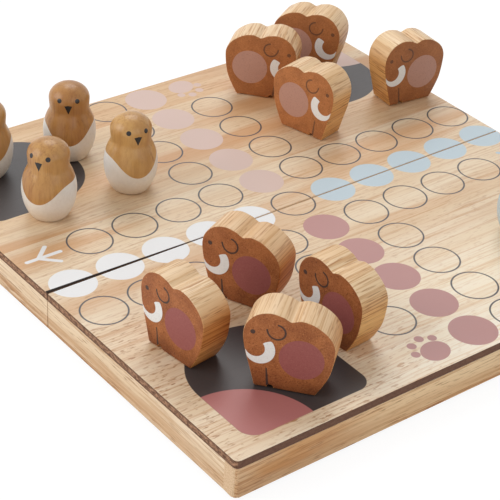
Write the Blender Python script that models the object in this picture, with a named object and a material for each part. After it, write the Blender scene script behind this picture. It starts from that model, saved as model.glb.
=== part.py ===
"""Folding ludo board with its playing pieces.

The board is two shallow trays, hinged along the middle so that they shut into a box with the
playing surface outside. Unfolded, it lies with the trays' mouths down on felt pads.
+X runs along the fold, +Y to the rear half and +Z up. The origin is on the table, under the
middle of the board. Lengths are in metres, angles in degrees.
"""

import math

import bmesh
import bpy
from mathutils import Matrix

# Board
BOARD_SIDE = 0.300
TRACK_CELLS = 11
FOLD_GAP = 0.0006
PANEL_THICKNESS = 0.0044
PANEL_EDGE_ROUND = 0.0004
RAIL_HEIGHT = 0.0161
RAIL_WIDTH = 0.0080
RAIL_EDGE_ROUND = 0.0005
CORNER_RADIUS = 0.0024
GLUE_LINE = 0.0002
JOINT_GAP = 0.00004

# Hinges under the fold
PIN_RADIUS = 0.00045
PIN_CLEARANCE = 0.00015
KNUCKLE_WALL = 0.0004
KNUCKLE_GAP = 0.0003
KNUCKLES = 3
HINGE_LENGTH = 0.024
HINGE_FROM_MIDDLE = 0.085
LEAF_THICKNESS = 0.0008
LEAF_WIDTH = 0.0076
TABLE_CLEARANCE = 0.0001

# Hinge screws
SCREW_LENGTH = 0.0070
SCREW_RADIUS = 0.0006
SCREW_HEAD_RADIUS = 0.0013
SCREW_SLOT_WIDTH = 0.0003
SCREW_SLOT_DEPTH = 0.0003
SCREW_CLEARANCE = 0.00015
SCREW_SPACING = 0.014

# Felt pads
PAD_RADIUS = 0.0021
PAD_INSET = 0.0003
PAD_EDGE_ROUND = 0.0004
PAD_SHUT_CLEARANCE = 0.0003
PAD_FROM_CORNER = 0.030
PAD_STAGGER_CLEARANCE = 0.005

# Closing magnets
MAGNET_RADIUS = 0.0025
MAGNET_HEIGHT = 0.0040
MAGNET_CLEARANCE = 0.0001
MAGNET_SHUT_GAP = 0.0003
MAGNET_FROM_MIDDLE = 0.040

# Playing pieces
REST_GAP = 0.0003
MAMMOTH_LENGTH = 0.0416
MAMMOTH_HEIGHT = 0.0400
MAMMOTH_THICKNESS = 0.0170
MAMMOTH_EDGE_ROUND = 0.0006
NOTCH_RADIUS = 0.0016
NOTCH_FROM_MIDDLE = 0.0065
CHICK_HEIGHT = 0.0432
CHICK_BASE_RADIUS = 0.0093
CHICK_BODY_RADIUS = 0.0142
CHICK_BODY_LEVEL = 0.0155
CHICK_NECK_RADIUS = 0.0105
CHICK_NECK_LEVEL = 0.0285
CHICK_HEAD_RADIUS = 0.0109
CHICK_HEAD_LEVEL = 0.0350
DIE_SIDE = 0.014
DIE_EDGE_ROUND = 0.0018

# Mammoth seen from its left, trunk at -X: shares of its length and height, from foot to foot
MAMMOTH_OUTLINE = (
    (-0.334, 0.000),
    (-0.394, 0.232),
    (-0.452, 0.450),
    (-0.483, 0.664),
    (-0.454, 0.818),
    (-0.351, 0.947),
    (-0.200, 1.000),
    (-0.062, 0.977),
    (-0.012, 0.951),
    (0.032, 0.932),
    (0.079, 0.950),
    (0.150, 0.966),
    (0.286, 0.934),
    (0.430, 0.832),
    (0.505, 0.709),
    (0.517, 0.572),
    (0.483, 0.324),
    (0.409, 0.137),
    (0.334, 0.000),
)

# Where the pieces stand: track cells along X and Y from the middle, and the turn about +Z
ROSE_MAMMOTHS = ((-4.47, -2.63, -83), (-2.63, -1.94, -65), (-3.54, -4.30, -51), (-1.98, -3.72, -85))
PINK_MAMMOTHS = ((2.41, 4.03, 130), (3.94, 4.32, 121), (2.24, 2.20, 104), (4.82, 2.26, -7))
WHITE_EGG_CHICKS = ((-2.23, 2.25, -14), (-2.55, 3.93, -35), (-4.06, 2.25, -60), (-4.29, 4.17, -20))
BLUE_EGG_CHICKS = ((3.05, -3.15, 35), (4.60, -3.05, 10), (3.15, -4.60, 60), (4.65, -4.60, 40))
DIE_PLACE = (4.75, -1.55, 24)

# Facets
ARC_STEPS = 6
ROUND_STEPS = 12
PAD_STEPS = 16
CHICK_STEPS = 18
CHICK_RINGS = 4
CURVE_STEPS = 2
EDGE_STEPS = 2
SHARP_ANGLE = 35

# Sizes worked out from the ones above
HALF_SIDE = BOARD_SIDE / 2
CELL = BOARD_SIDE / TRACK_CELLS
FOLD_EDGE = FOLD_GAP / 2
BORE_RADIUS = PIN_RADIUS + PIN_CLEARANCE
KNUCKLE_RADIUS = BORE_RADIUS + KNUCKLE_WALL
AXIS_HEIGHT = KNUCKLE_RADIUS + TABLE_CLEARANCE
RIM_HEIGHT = 2 * AXIS_HEIGHT + PAD_SHUT_CLEARANCE
RAIL_TOP = RIM_HEIGHT + RAIL_HEIGHT
PANEL_TOP = RAIL_TOP + GLUE_LINE + PANEL_THICKNESS
LEAF_TOP = RIM_HEIGHT - GLUE_LINE
LEAF_BOTTOM = LEAF_TOP - LEAF_THICKNESS
PAD_HEIGHT = RIM_HEIGHT - GLUE_LINE
PAD_STAGGER = 2 * PAD_RADIUS + PAD_STAGGER_CLEARANCE
PAD_LINE = HALF_SIDE - RAIL_WIDTH + PAD_INSET + PAD_RADIUS
RAIL_MIDDLE = HALF_SIDE - RAIL_WIDTH / 2
LEAF_SCREW_LINE = (KNUCKLE_RADIUS + LEAF_WIDTH) / 2
MAGNET_BOTTOM = AXIS_HEIGHT + MAGNET_SHUT_GAP / 2
REAR, FRONT = 1, -1


def finish(name, colour, roughness, metallic=0.0):
    material = bpy.data.materials.new(name)
    material.use_nodes = True
    shader = material.node_tree.nodes["Principled BSDF"]
    shader.inputs["Base Color"].default_value = (*colour, 1)
    shader.inputs["Roughness"].default_value = roughness
    shader.inputs["Metallic"].default_value = metallic
    material.diffuse_color = (*colour, 1)
    return material


def mesh_of(bm, name, material=None):
    """Closes a bmesh off into a mesh whose faces point outwards."""
    bmesh.ops.remove_doubles(bm, verts=bm.verts, dist=1e-6)
    bmesh.ops.recalc_face_normals(bm, faces=bm.faces)
    mesh = bpy.data.meshes.new(name)
    bm.to_mesh(mesh)
    bm.free()
    if material:
        mesh.materials.append(material)
    mesh.shade_smooth()
    mesh.set_sharp_from_angle(angle=math.radians(SHARP_ANGLE))
    return mesh


def place(name, mesh, parent, location=(0, 0, 0), turn=0):
    """Adds a named object, with its location and turn given in the board's own frame."""
    piece = bpy.data.objects.new(name, mesh)
    bpy.context.scene.collection.objects.link(piece)
    piece.location = location
    piece.rotation_euler.z = math.radians(turn)
    piece.parent = parent
    piece.matrix_parent_inverse = Matrix.Translation(parent.location).inverted()
    return piece


def add_empty(name, location):
    empty = bpy.data.objects.new(name, None)
    bpy.context.scene.collection.objects.link(empty)
    empty.location = location
    return empty


def combine(piece, operation, name, mesh):
    """Cuts a hidden helper shape out of a piece, or joins it on."""
    helper = place(name, mesh, piece.parent, piece.location)
    helper.hide_render = True
    helper.display_type = "WIRE"
    modifier = piece.modifiers.new(name, "BOOLEAN")
    modifier.operation = operation
    modifier.solver = "EXACT"
    modifier.object = helper


def add_prism(bm, outline, low, high):
    """Extrudes a plan outline from one height to another and gives its bottom and top edges, side by side."""
    bottom = [bm.verts.new((x, y, low)) for x, y in outline]
    top = [bm.verts.new((x, y, high)) for x, y in outline]
    bm.faces.new(bottom[::-1])
    bm.faces.new(top)
    sides = []
    for i in range(len(outline)):
        j = (i + 1) % len(outline)
        bm.faces.new((bottom[i], bottom[j], top[j], top[i]))
        sides.append((bm.edges.get((bottom[i], bottom[j])), bm.edges.get((top[i], top[j]))))
    return sides


def round_edges(bm, edges, size):
    bmesh.ops.bevel(bm, geom=edges, offset=size, segments=EDGE_STEPS, profile=0.5, affect="EDGES")


def add_turned(bm, profile, centre, axis="Z", steps=ROUND_STEPS):
    """Spins a profile of (radius, distance along the axis) points about the axis through a centre."""
    x, y, z = centre
    if axis == "Z":
        points = [(x + radius, y, z + along) for radius, along in profile]
        direction = (0, 0, 1)
    else:
        points = [(x + along, y, z + radius) for radius, along in profile]
        direction = (1, 0, 0)
    verts = [bm.verts.new(point) for point in points]
    edges = [bm.edges.new(pair) for pair in zip(verts, verts[1:])]
    bmesh.ops.spin(
        bm, geom=verts + edges, cent=centre, axis=direction, angle=math.tau, steps=steps, use_merge=True
    )
    bmesh.ops.remove_doubles(bm, verts=bm.verts, dist=1e-6)


def rod(radius, low, high):
    return ((0, low), (radius, low), (radius, high), (0, high))


def arc(centre, radius, start, end, steps):
    angles = [math.radians(start + (end - start) * i / steps) for i in range(steps + 1)]
    return [(centre[0] + radius * math.cos(a), centre[1] + radius * math.sin(a)) for a in angles]


def smooth_curve(points, steps):
    """Points on a Catmull-Rom curve through the given ones, which it starts and ends at."""
    padded = (points[0], *points, points[-1])
    curve = [points[0]]
    for a, b, c, d in zip(padded, padded[1:], padded[2:], padded[3:]):
        for i in range(1, steps + 1):
            t = i / steps
            weights = (
                -t + 2 * t**2 - t**3,
                2 - 5 * t**2 + 3 * t**3,
                t + 4 * t**2 - 3 * t**3,
                t**3 - t**2,
            )
            curve.append(tuple(sum(w * p[k] for w, p in zip(weights, (a, b, c, d))) / 2 for k in (0, 1)))
    return curve


def corner_arc():
    """A board corner's rounding, in the quarter where X and Y are positive."""
    inner = HALF_SIDE - CORNER_RADIUS
    return arc((inner, inner), CORNER_RADIUS, 0, 90, ARC_STEPS)


def flip(points, x_sign, y_sign):
    return [(x_sign * x, y_sign * y) for x, y in points]


def outer_outline(start):
    """Plan of a half's outer end, from a distance off the fold out and round both its corners."""
    right = corner_arc()
    return [(HALF_SIDE, start), *right, *flip(right, -1, 1)[::-1], (-HALF_SIDE, start)]


def playing_panel(side, wood):
    bm = bmesh.new()
    sides = add_prism(bm, flip(outer_outline(FOLD_EDGE), 1, side), RAIL_TOP + GLUE_LINE, PANEL_TOP)
    round_edges(bm, [top for _, top in sides], PANEL_EDGE_ROUND)
    return mesh_of(bm, "playing_panel", wood)


def outer_rail(side, wood):
    """Rail along the edge that faces the fold, with its ends showing at the left and the right."""
    outline = outer_outline(HALF_SIDE - RAIL_WIDTH)
    bm = bmesh.new()
    sides = add_prism(bm, flip(outline, 1, side), RIM_HEIGHT, RAIL_TOP)
    round_edges(bm, [edge for pair in sides[:-1] for edge in pair], RAIL_EDGE_ROUND)
    return mesh_of(bm, "outer_rail", wood)


def end_rail(x_side, side, wood):
    """Rail on the left or the right, butted between the fold and the outer rail."""
    inner = HALF_SIDE - RAIL_WIDTH
    reach = inner - JOINT_GAP
    outline = [(HALF_SIDE, FOLD_EDGE), (HALF_SIDE, reach), (inner, reach), (inner, FOLD_EDGE)]
    bm = bmesh.new()
    sides = add_prism(bm, flip(outline, x_side, side), RIM_HEIGHT, RAIL_TOP)
    round_edges(bm, sides[0], RAIL_EDGE_ROUND)
    return mesh_of(bm, "end_rail", wood)


def fold_rail(side, wood):
    reach = HALF_SIDE - RAIL_WIDTH - GLUE_LINE
    near, far = FOLD_EDGE, FOLD_EDGE + RAIL_WIDTH
    outline = [(reach, near), (reach, far), (-reach, far), (-reach, near)]
    bm = bmesh.new()
    add_prism(bm, flip(outline, 1, side), RIM_HEIGHT, RAIL_TOP)
    return mesh_of(bm, "fold_rail", wood)


def screw_places(side):
    """Where the screws of one half's hinge leaves stand, as (hinge, number, x, y)."""
    for hinge, middle in (("left", -HINGE_FROM_MIDDLE), ("right", HINGE_FROM_MIDDLE)):
        for number, shift in ((1, -SCREW_SPACING / 2), (2, SCREW_SPACING / 2)):
            yield hinge, number, middle + shift, side * LEAF_SCREW_LINE


def make_tray(half, side, parent, wood, print_wood):
    place(f"{half}_playing_panel", playing_panel(side, print_wood), parent)
    outer = place(f"{half}_outer_rail", outer_rail(side, wood), parent)
    fold = place(f"{half}_fold_rail", fold_rail(side, wood), parent)
    place(f"{half}_left_rail", end_rail(-1, side, wood), parent)
    place(f"{half}_right_rail", end_rail(1, side, wood), parent)

    pocket = bmesh.new()
    for x in (-MAGNET_FROM_MIDDLE, MAGNET_FROM_MIDDLE):
        hole = rod(MAGNET_RADIUS + MAGNET_CLEARANCE, 0, MAGNET_HEIGHT + MAGNET_CLEARANCE)
        add_turned(pocket, hole, (x, side * RAIL_MIDDLE, MAGNET_BOTTOM), steps=PAD_STEPS)
    combine(outer, "DIFFERENCE", f"{half}_magnet_pockets", mesh_of(pocket, "magnet_pockets"))

    pilot = bmesh.new()
    for _, _, x, y in screw_places(side):
        hole = rod(SCREW_RADIUS + SCREW_CLEARANCE, 0, SCREW_LENGTH + SCREW_CLEARANCE)
        add_turned(pilot, hole, (x, y, LEAF_BOTTOM))
    combine(fold, "DIFFERENCE", f"{half}_pilot_holes", mesh_of(pilot, "pilot_holes"))


def knuckle_spans(own):
    """Ends along X of those of a hinge's knuckles that one leaf owns."""
    pitch = HINGE_LENGTH / KNUCKLES
    for i in own:
        start = -HINGE_LENGTH / 2 + i * pitch
        yield start + KNUCKLE_GAP / 2, start + pitch - KNUCKLE_GAP / 2


def make_leaf(name, middle, side, own, parent, brass):
    """Flat leaf under a fold rail, with its knuckles rolled round the pin and holes for two screws."""
    end = HINGE_LENGTH / 2
    clear = KNUCKLE_RADIUS + KNUCKLE_GAP
    outline = [(-end, LEAF_WIDTH), (-end, clear)]
    for low, high in knuckle_spans(own):
        outline += [(low, clear), (low, 0), (high, 0), (high, clear)]
    outline += [(end, clear), (end, LEAF_WIDTH)]
    plate = bmesh.new()
    add_prism(plate, flip(outline, 1, side), LEAF_BOTTOM, LEAF_TOP)
    leaf = place(name, mesh_of(plate, "hinge_leaf", brass), parent, (middle, 0, 0))

    barrel = bmesh.new()
    for span in knuckle_spans(own):
        add_turned(barrel, rod(KNUCKLE_RADIUS, *span), (0, 0, AXIS_HEIGHT), "X", PAD_STEPS)
    combine(leaf, "UNION", f"{name}_knuckles", mesh_of(barrel, "knuckles"))

    bore = bmesh.new()
    add_turned(bore, rod(BORE_RADIUS, -end, end), (0, 0, AXIS_HEIGHT), "X")
    combine(leaf, "DIFFERENCE", f"{name}_bore", mesh_of(bore, "bore"))

    sink = bmesh.new()
    narrow, wide = SCREW_RADIUS + SCREW_CLEARANCE, SCREW_HEAD_RADIUS + SCREW_CLEARANCE
    cone = ((0, -TABLE_CLEARANCE), (wide, -TABLE_CLEARANCE), (wide, 0))
    cone += ((narrow, LEAF_THICKNESS), (narrow, LEAF_THICKNESS + GLUE_LINE), (0, LEAF_THICKNESS + GLUE_LINE))
    for shift in (-SCREW_SPACING / 2, SCREW_SPACING / 2):
        add_turned(sink, cone, (shift, side * LEAF_SCREW_LINE, LEAF_BOTTOM))
    combine(leaf, "DIFFERENCE", f"{name}_countersinks", mesh_of(sink, "countersinks"))


def make_hinges(rear, front, brass, steel):
    inner = tuple(range(1, KNUCKLES, 2))
    outer = tuple(range(0, KNUCKLES, 2))
    for hinge, middle in (("left", -HINGE_FROM_MIDDLE), ("right", HINGE_FROM_MIDDLE)):
        make_leaf(f"{hinge}_hinge_rear_leaf", middle, REAR, outer, rear, brass)
        make_leaf(f"{hinge}_hinge_front_leaf", middle, FRONT, inner, front, brass)
        pin = bmesh.new()
        add_turned(pin, rod(PIN_RADIUS, -HINGE_LENGTH / 2, HINGE_LENGTH / 2), (0, 0, 0), "X")
        place(f"{hinge}_hinge_pin", mesh_of(pin, "hinge_pin", steel), rear, (middle, 0, AXIS_HEIGHT))


def screw_mesh(steel):
    """Countersunk wood screw, head down, with its point up in the rail."""
    tip = SCREW_LENGTH - 2 * SCREW_RADIUS
    shaft = ((0, 0), (SCREW_HEAD_RADIUS, 0), (SCREW_RADIUS, LEAF_THICKNESS))
    shaft += ((SCREW_RADIUS, tip), (0, SCREW_LENGTH))
    bm = bmesh.new()
    add_turned(bm, shaft, (0, 0, 0))
    return mesh_of(bm, "hinge_screw", steel)


def slot_mesh():
    reach, half = 2 * SCREW_HEAD_RADIUS, SCREW_SLOT_WIDTH / 2
    bm = bmesh.new()
    outline = [(reach, half), (-reach, half), (-reach, -half), (reach, -half)]
    add_prism(bm, outline, -SCREW_SLOT_DEPTH, SCREW_SLOT_DEPTH)
    return mesh_of(bm, "screw_slot")


def make_screws(half, side, parent, steel):
    shaft, slot = screw_mesh(steel), slot_mesh()
    for hinge, number, x, y in screw_places(side):
        name = f"{hinge}_hinge_{half}_screw_{number}"
        screw = place(name, shaft, parent, (x, y, LEAF_BOTTOM))
        combine(screw, "DIFFERENCE", f"{name}_slot", slot)


def make_pads(half, side, stagger, parent, felt):
    """Two pads under the outer rail and one under each end rail, clear of the other half's when shut."""
    rim = PAD_RADIUS - PAD_EDGE_ROUND
    profile = ((0, 0), (rim, 0), (PAD_RADIUS, PAD_EDGE_ROUND), (PAD_RADIUS, PAD_HEIGHT), (0, PAD_HEIGHT))
    bm = bmesh.new()
    add_turned(bm, profile, (0, 0, 0), steps=PAD_STEPS)
    mesh = mesh_of(bm, "felt_pad", felt)
    along = HALF_SIDE - PAD_FROM_CORNER - stagger
    out = PAD_FROM_CORNER + stagger
    for x_side, hand in ((-1, "left"), (1, "right")):
        place(f"{half}_{hand}_outer_pad", mesh, parent, (x_side * along, side * PAD_LINE, 0))
        place(f"{half}_{hand}_fold_pad", mesh, parent, (x_side * PAD_LINE, side * out, 0))


def make_magnets(half, side, parent, nickel):
    bm = bmesh.new()
    add_turned(bm, rod(MAGNET_RADIUS, 0, MAGNET_HEIGHT), (0, 0, 0), steps=PAD_STEPS)
    mesh = mesh_of(bm, "magnet", nickel)
    for hand, x in (("left", -MAGNET_FROM_MIDDLE), ("right", MAGNET_FROM_MIDDLE)):
        place(f"{half}_{hand}_magnet", mesh, parent, (x, side * RAIL_MIDDLE, MAGNET_BOTTOM))


def mammoth_mesh(name, wood):
    """Sawn slice of wood, standing on its feet with a half-round notch between them."""
    scaled = [(x * MAMMOTH_LENGTH, z * MAMMOTH_HEIGHT) for x, z in MAMMOTH_OUTLINE]
    notch = arc((-NOTCH_FROM_MIDDLE, 0), NOTCH_RADIUS, 0, 180, ARC_STEPS)
    outline = (smooth_curve(scaled, CURVE_STEPS) + notch)[::-1]
    bm = bmesh.new()
    sides = add_prism(bm, outline, -MAMMOTH_THICKNESS / 2, MAMMOTH_THICKNESS / 2)
    round_edges(bm, [edge for pair in sides for edge in pair], MAMMOTH_EDGE_ROUND)
    bm.transform(Matrix.Rotation(math.radians(90), 4, "X"))
    return mesh_of(bm, name, wood)


def ease(start, end, share):
    """A value on the way from start to end that sets off and arrives level."""
    return start + (end - start) * (3 * share**2 - 2 * share**3)


def chick_profile():
    """Turned outline of the chick in its egg: half an egg, a neck and a round head."""
    swell = CHICK_BODY_LEVEL / math.sqrt(1 - (CHICK_BASE_RADIUS / CHICK_BODY_RADIUS) ** 2)
    shares = [i / CHICK_RINGS for i in range(CHICK_RINGS)]
    profile = [(0, 0)]
    for share in shares:
        drop = CHICK_BODY_LEVEL * (1 - share)
        profile.append((CHICK_BODY_RADIUS * math.sqrt(1 - (drop / swell) ** 2), CHICK_BODY_LEVEL - drop))
    for share in shares:
        level = CHICK_BODY_LEVEL + (CHICK_NECK_LEVEL - CHICK_BODY_LEVEL) * share
        slope = (CHICK_BODY_RADIUS - CHICK_NECK_RADIUS) * share**2
        profile.append((CHICK_BODY_RADIUS - slope, level))
    for share in shares[::2]:
        level = CHICK_NECK_LEVEL + (CHICK_HEAD_LEVEL - CHICK_NECK_LEVEL) * share
        profile.append((ease(CHICK_NECK_RADIUS, CHICK_HEAD_RADIUS, share), level))
    for share in shares:
        angle = math.radians(90 * share)
        rise = (CHICK_HEIGHT - CHICK_HEAD_LEVEL) * math.sin(angle)
        profile.append((CHICK_HEAD_RADIUS * math.cos(angle), CHICK_HEAD_LEVEL + rise))
    profile.append((0, CHICK_HEIGHT))
    return profile


def chick_mesh(name, wood):
    bm = bmesh.new()
    add_turned(bm, chick_profile(), (0, 0, 0), steps=CHICK_STEPS)
    return mesh_of(bm, name, wood)


def make_set(name, mesh, spots, parent):
    for number, (column, row, turn) in enumerate(spots, 1):
        location = (column * CELL, row * CELL, PANEL_TOP + REST_GAP)
        place(f"{name}_{number}", mesh, parent, location, turn)


def make_die(parent, wood):
    bm = bmesh.new()
    half = DIE_SIDE / 2
    square = [(half, half), (-half, half), (-half, -half), (half, -half)]
    add_prism(bm, square, 0, DIE_SIDE)
    round_edges(bm, bm.edges[:], DIE_EDGE_ROUND)
    column, row, turn = DIE_PLACE
    location = (column * CELL, row * CELL, PANEL_TOP + REST_GAP)
    place("die", mesh_of(bm, "die", wood), parent, location, turn)


def main():
    for leftover in list(bpy.data.objects):
        bpy.data.objects.remove(leftover)

    pale_wood = finish("pale_wood", (0.66, 0.47, 0.29), 0.55)
    print_wood = finish("printed_wood", (0.70, 0.54, 0.38), 0.40)
    brown_wood = finish("brown_wood", (0.30, 0.12, 0.05), 0.55)
    rose_wood = finish("rose_wood", (0.42, 0.20, 0.15), 0.55)
    white_paint = finish("white_paint", (0.76, 0.74, 0.71), 0.45)
    blue_paint = finish("blue_paint", (0.50, 0.60, 0.66), 0.45)
    felt = finish("felt", (0.10, 0.09, 0.08), 0.95)
    brass = finish("brass", (0.72, 0.53, 0.25), 0.35, 1.0)
    steel = finish("steel", (0.60, 0.60, 0.60), 0.35, 1.0)
    nickel = finish("nickel", (0.66, 0.64, 0.60), 0.25, 1.0)

    rear = add_empty("rear_half", (0, 0, 0))
    front = add_empty("fold_axis", (0, 0, AXIS_HEIGHT))
    for half, side, stagger, parent in (("rear", REAR, 0, rear), ("front", FRONT, PAD_STAGGER, front)):
        make_tray(half, side, parent, pale_wood, print_wood)
        make_screws(half, side, parent, steel)
        make_pads(half, side, stagger, parent, felt)
        make_magnets(half, side, parent, nickel)
    make_hinges(rear, front, brass, steel)

    make_set("rose_mammoth", mammoth_mesh("rose_mammoth", rose_wood), ROSE_MAMMOTHS, front)
    make_set("pink_mammoth", mammoth_mesh("pink_mammoth", brown_wood), PINK_MAMMOTHS, rear)
    make_set("white_egg_chick", chick_mesh("white_egg_chick", white_paint), WHITE_EGG_CHICKS, rear)
    make_set("blue_egg_chick", chick_mesh("blue_egg_chick", blue_paint), BLUE_EGG_CHICKS, front)
    make_die(front, pale_wood)


main()
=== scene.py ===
"""Looks of the folding ludo board: printed wood, turned and sawn playing pieces, studio light and camera.

The board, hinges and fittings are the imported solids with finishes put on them. The playing pieces and the
felt pads are modelled here, each finer than its solid and standing where the solid stands. Lengths are in
metres. Colours are written as they show on a screen, from 0 to 255.
"""

import math

import bmesh
import bpy
from mathutils import Euler, Matrix, Vector


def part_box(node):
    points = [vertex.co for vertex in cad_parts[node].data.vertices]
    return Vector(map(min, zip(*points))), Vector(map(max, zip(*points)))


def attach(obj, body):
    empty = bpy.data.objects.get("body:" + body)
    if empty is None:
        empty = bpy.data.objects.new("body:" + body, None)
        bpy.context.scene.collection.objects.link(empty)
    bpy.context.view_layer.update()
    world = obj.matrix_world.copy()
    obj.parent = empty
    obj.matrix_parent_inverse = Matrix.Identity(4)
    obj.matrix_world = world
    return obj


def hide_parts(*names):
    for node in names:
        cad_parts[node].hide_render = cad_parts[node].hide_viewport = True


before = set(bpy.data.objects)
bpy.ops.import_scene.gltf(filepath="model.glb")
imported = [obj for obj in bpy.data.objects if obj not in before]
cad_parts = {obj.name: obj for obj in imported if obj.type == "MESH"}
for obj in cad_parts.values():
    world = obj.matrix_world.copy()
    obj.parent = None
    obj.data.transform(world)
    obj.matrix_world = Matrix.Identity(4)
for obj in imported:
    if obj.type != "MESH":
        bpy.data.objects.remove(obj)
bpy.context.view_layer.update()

# Board, from the frame
PANEL_LOW, PANEL_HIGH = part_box("rear_playing_panel")
BOARD_SIDE = PANEL_HIGH.x - PANEL_LOW.x
TRACK_CELLS = 11
CELL = BOARD_SIDE / TRACK_CELLS
VENEER = 0.0002
BACK_VENEER = 0.0001
VENEER_SOFTNESS = 0.00005
# How far inside the board's edge an outer face starts to show, and shows fully
FACE_START = 0.0006
FACE_FULL = 0.0002
# The panels' core is palest at a depth below the top, with painted shade lines above and below that
CORE_PALE_DEPTH = 0.0022
CORE_PALE_HALF = 0.0012
CORE_PALE_SOFTNESS = 0.0008

# Strips of the veneer, from the front edge to the rear one: how dark each is, and how far its grain shifts
STRIP_TONES = (0.00, 0.10, 0.15, 0.15, 0.20, 0.50, 0.25, 0.90)
STRIP_CELLS = 1.5
STRIP_SEAM = 0.0003
STRIP_SHIFT = 3.0
# A painted shadow of the fold's gap lies on the rear panel's edge, wider and wider from a place in track
# cells on to the left
FOLD_SHADOW_START = 2.1
FOLD_SHADOW_GROWTH = 0.00050
FOLD_SHADOW_SOFTNESS = 0.0003
# The fold's walls, which go from brown to pale between two places in track cells
FOLD_EDGE = 0.0005
FOLD_SOFTNESS = 0.0001
FOLD_PALING = (-2.6, -0.6)

# Wood's tones: its pale, middle and deep parts, and its pores
VENEER_TONES = ((236, 218, 190), (226, 200, 165), (196, 148, 102), (168, 116, 72))
# Veneer's tones at the front right, paler as a painted sheen
SHEEN_VENEER_TONES = ((255, 247, 230), (253, 239, 213), (230, 194, 150), (208, 164, 120))
PLAIN_RAIL_TONES = ((238, 214, 181), (224, 193, 154), (190, 144, 100), (152, 106, 68))
# Rail tones for the right end of the rails along X, paler as painted light
PAINTED_LIGHT_RAIL_TONES = ((250, 226, 186), (242, 210, 166), (200, 150, 100), (158, 110, 68))
BLEACHED_RAIL_TONES = ((243, 221, 191), (231, 204, 168), (196, 152, 106), (160, 114, 74))
RIM_TONES = ((230, 182, 118), (210, 154, 88), (164, 96, 44), (128, 72, 32))
# The rim's tones at its top, paler as a painted sheen
SHEEN_RIM_TONES = ((242, 214, 174), (230, 192, 144), (202, 150, 94), (172, 116, 66))
CHICK_TONES = ((204, 158, 94), (188, 138, 76), (156, 102, 52), (120, 74, 36))
DIE_TONES = ((232, 204, 160), (220, 184, 134), (194, 148, 98), (140, 92, 54))
# Wood's grain: noise per metre along it and across it, and the noise between which each trait comes out
SWAY = (7, 18, 18)
SWAY_REACH = 0.006
FIGURE = (6, 60, 60)
FIGURE_RANGE = (0.36, 0.64)
CLUMPS = (11, 90, 90)
CLUMP_RANGE = (0.38, 0.62)
CLUMP_SEED = 7.0
STREAK_RUN = 14
STREAK_RANGE = (0.47, 0.63)
STREAK_DEPTH = 0.4
PORE_RANGE = (0.54, 0.68)
PORE_DEPTH = 0.6
BUMP_DEPTH = 0.0002
# Where the wood changes, from left to right or from front to rear
# Between the first two pairs of places the veneer grows paler towards the front right, a painted sheen
SHEEN_VENEER_X = (-0.10, 0.02)
SHEEN_VENEER_Y = (-0.12, -0.04)
FAR_VENEER_Y = (-0.11, 0.05)
OPEN_GRAIN_X = (-0.11, 0.04)
# Between these places the rails along X turn paler towards the right, as painted light
RAIL_PAINTED_LIGHT_X = (-0.12, -0.05)
RAIL_CLOUDS_X = (-0.12, -0.06)
# The rails' browner streaks lie below a share of their height
RAIL_FOOT = 0.55
RAIL_FOOT_SOFTNESS = 0.003
RAIL_FOOT_WANDER = 0.010

# Print, in track cells and degrees: the sheet lies a little off the middle of the board
PRINT_SHIFT = (0.045, 0.024)
ARM_REACH = 5
ARM_HALF_WIDTH = 1
RING_RADIUS = 0.425
RING_WIDTH = 0.033
SPOT_RADIUS = 0.440
YARD_MIDDLE = (3.75, 3.90)
YARD_HALF_SIDE = 1.30
YARD_TIP_ROUND = 0.30
YARD_ARCH_ROUND = 1.25
YARD_QUARTER = 1.30
INK_SOFTNESS = 0.012
SIDE_STEP = 0.01
PAW_TURN = 20
PAW_PAD = (0.0, -0.09)
PAW_PAD_RADII = (0.30, 0.25)
PAW_TOES = ((0.130, 0.300, 0.088), (0.300, 0.130, 0.084))
TRACK_HEEL = (0.0, -0.10)
TRACK_TOES = ((0.0, 0.36), (0.28, 0.20), (0.0, -0.34))
TRACK_TOE_WIDTH = 0.085

# Mammoth
MAMMOTH_LENGTH = 0.0416
MAMMOTH_HEIGHT = 0.0400
MAMMOTH_THICKNESS = 0.0170
MAMMOTH_ARRIS = 0.0006
NOTCH_RADIUS = 0.0016
NOTCH_FROM_MIDDLE = 0.0065
OUTLINE_STEPS = 8
NOTCH_STEPS = 12
ARRIS_STEPS = 4
# Shares of its height between which its rim gets polished and paler as a painted sheen, and below which its
# sides get painted shade
RIM_POLISH_AND_SHEEN = (0.55, 0.95)
FOOT_SHADE_LEVEL = 0.15
FOOT_SHADE_SOFTNESS = 0.35
# Shares of its arris between which its sides get their print
PRINT_EDGE = (0.35, 0.10)
# Shares of its length and height, seen from its left with the trunk at -X, from foot to foot
MAMMOTH_OUTLINE = (
    (-0.334, 0.000),
    (-0.394, 0.232),
    (-0.452, 0.450),
    (-0.483, 0.664),
    (-0.454, 0.818),
    (-0.351, 0.947),
    (-0.200, 1.000),
    (-0.062, 0.977),
    (-0.012, 0.951),
    (0.032, 0.932),
    (0.079, 0.950),
    (0.150, 0.966),
    (0.286, 0.934),
    (0.430, 0.832),
    (0.505, 0.709),
    (0.517, 0.572),
    (0.483, 0.324),
    (0.409, 0.137),
    (0.334, 0.000),
)

# Marks on a mammoth's sides, as (x, z) from under its middle
MARK_SOFTNESS = 0.00012
EYE = (-0.0157, 0.0289)
EYE_RADIUS = 0.00115
PATCH = (0.00685, 0.0181)
PATCH_RADIUS = 0.0103
LEG_TOP = (-0.0087, 0.0107)
LEG_FOOT = (-0.0077, 0.0014)
LEG_WIDTHS = (0.0007, 0.0012)
LEG_OVERRUN = 1.05
LEG_END_SOFTNESS = 0.02
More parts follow.
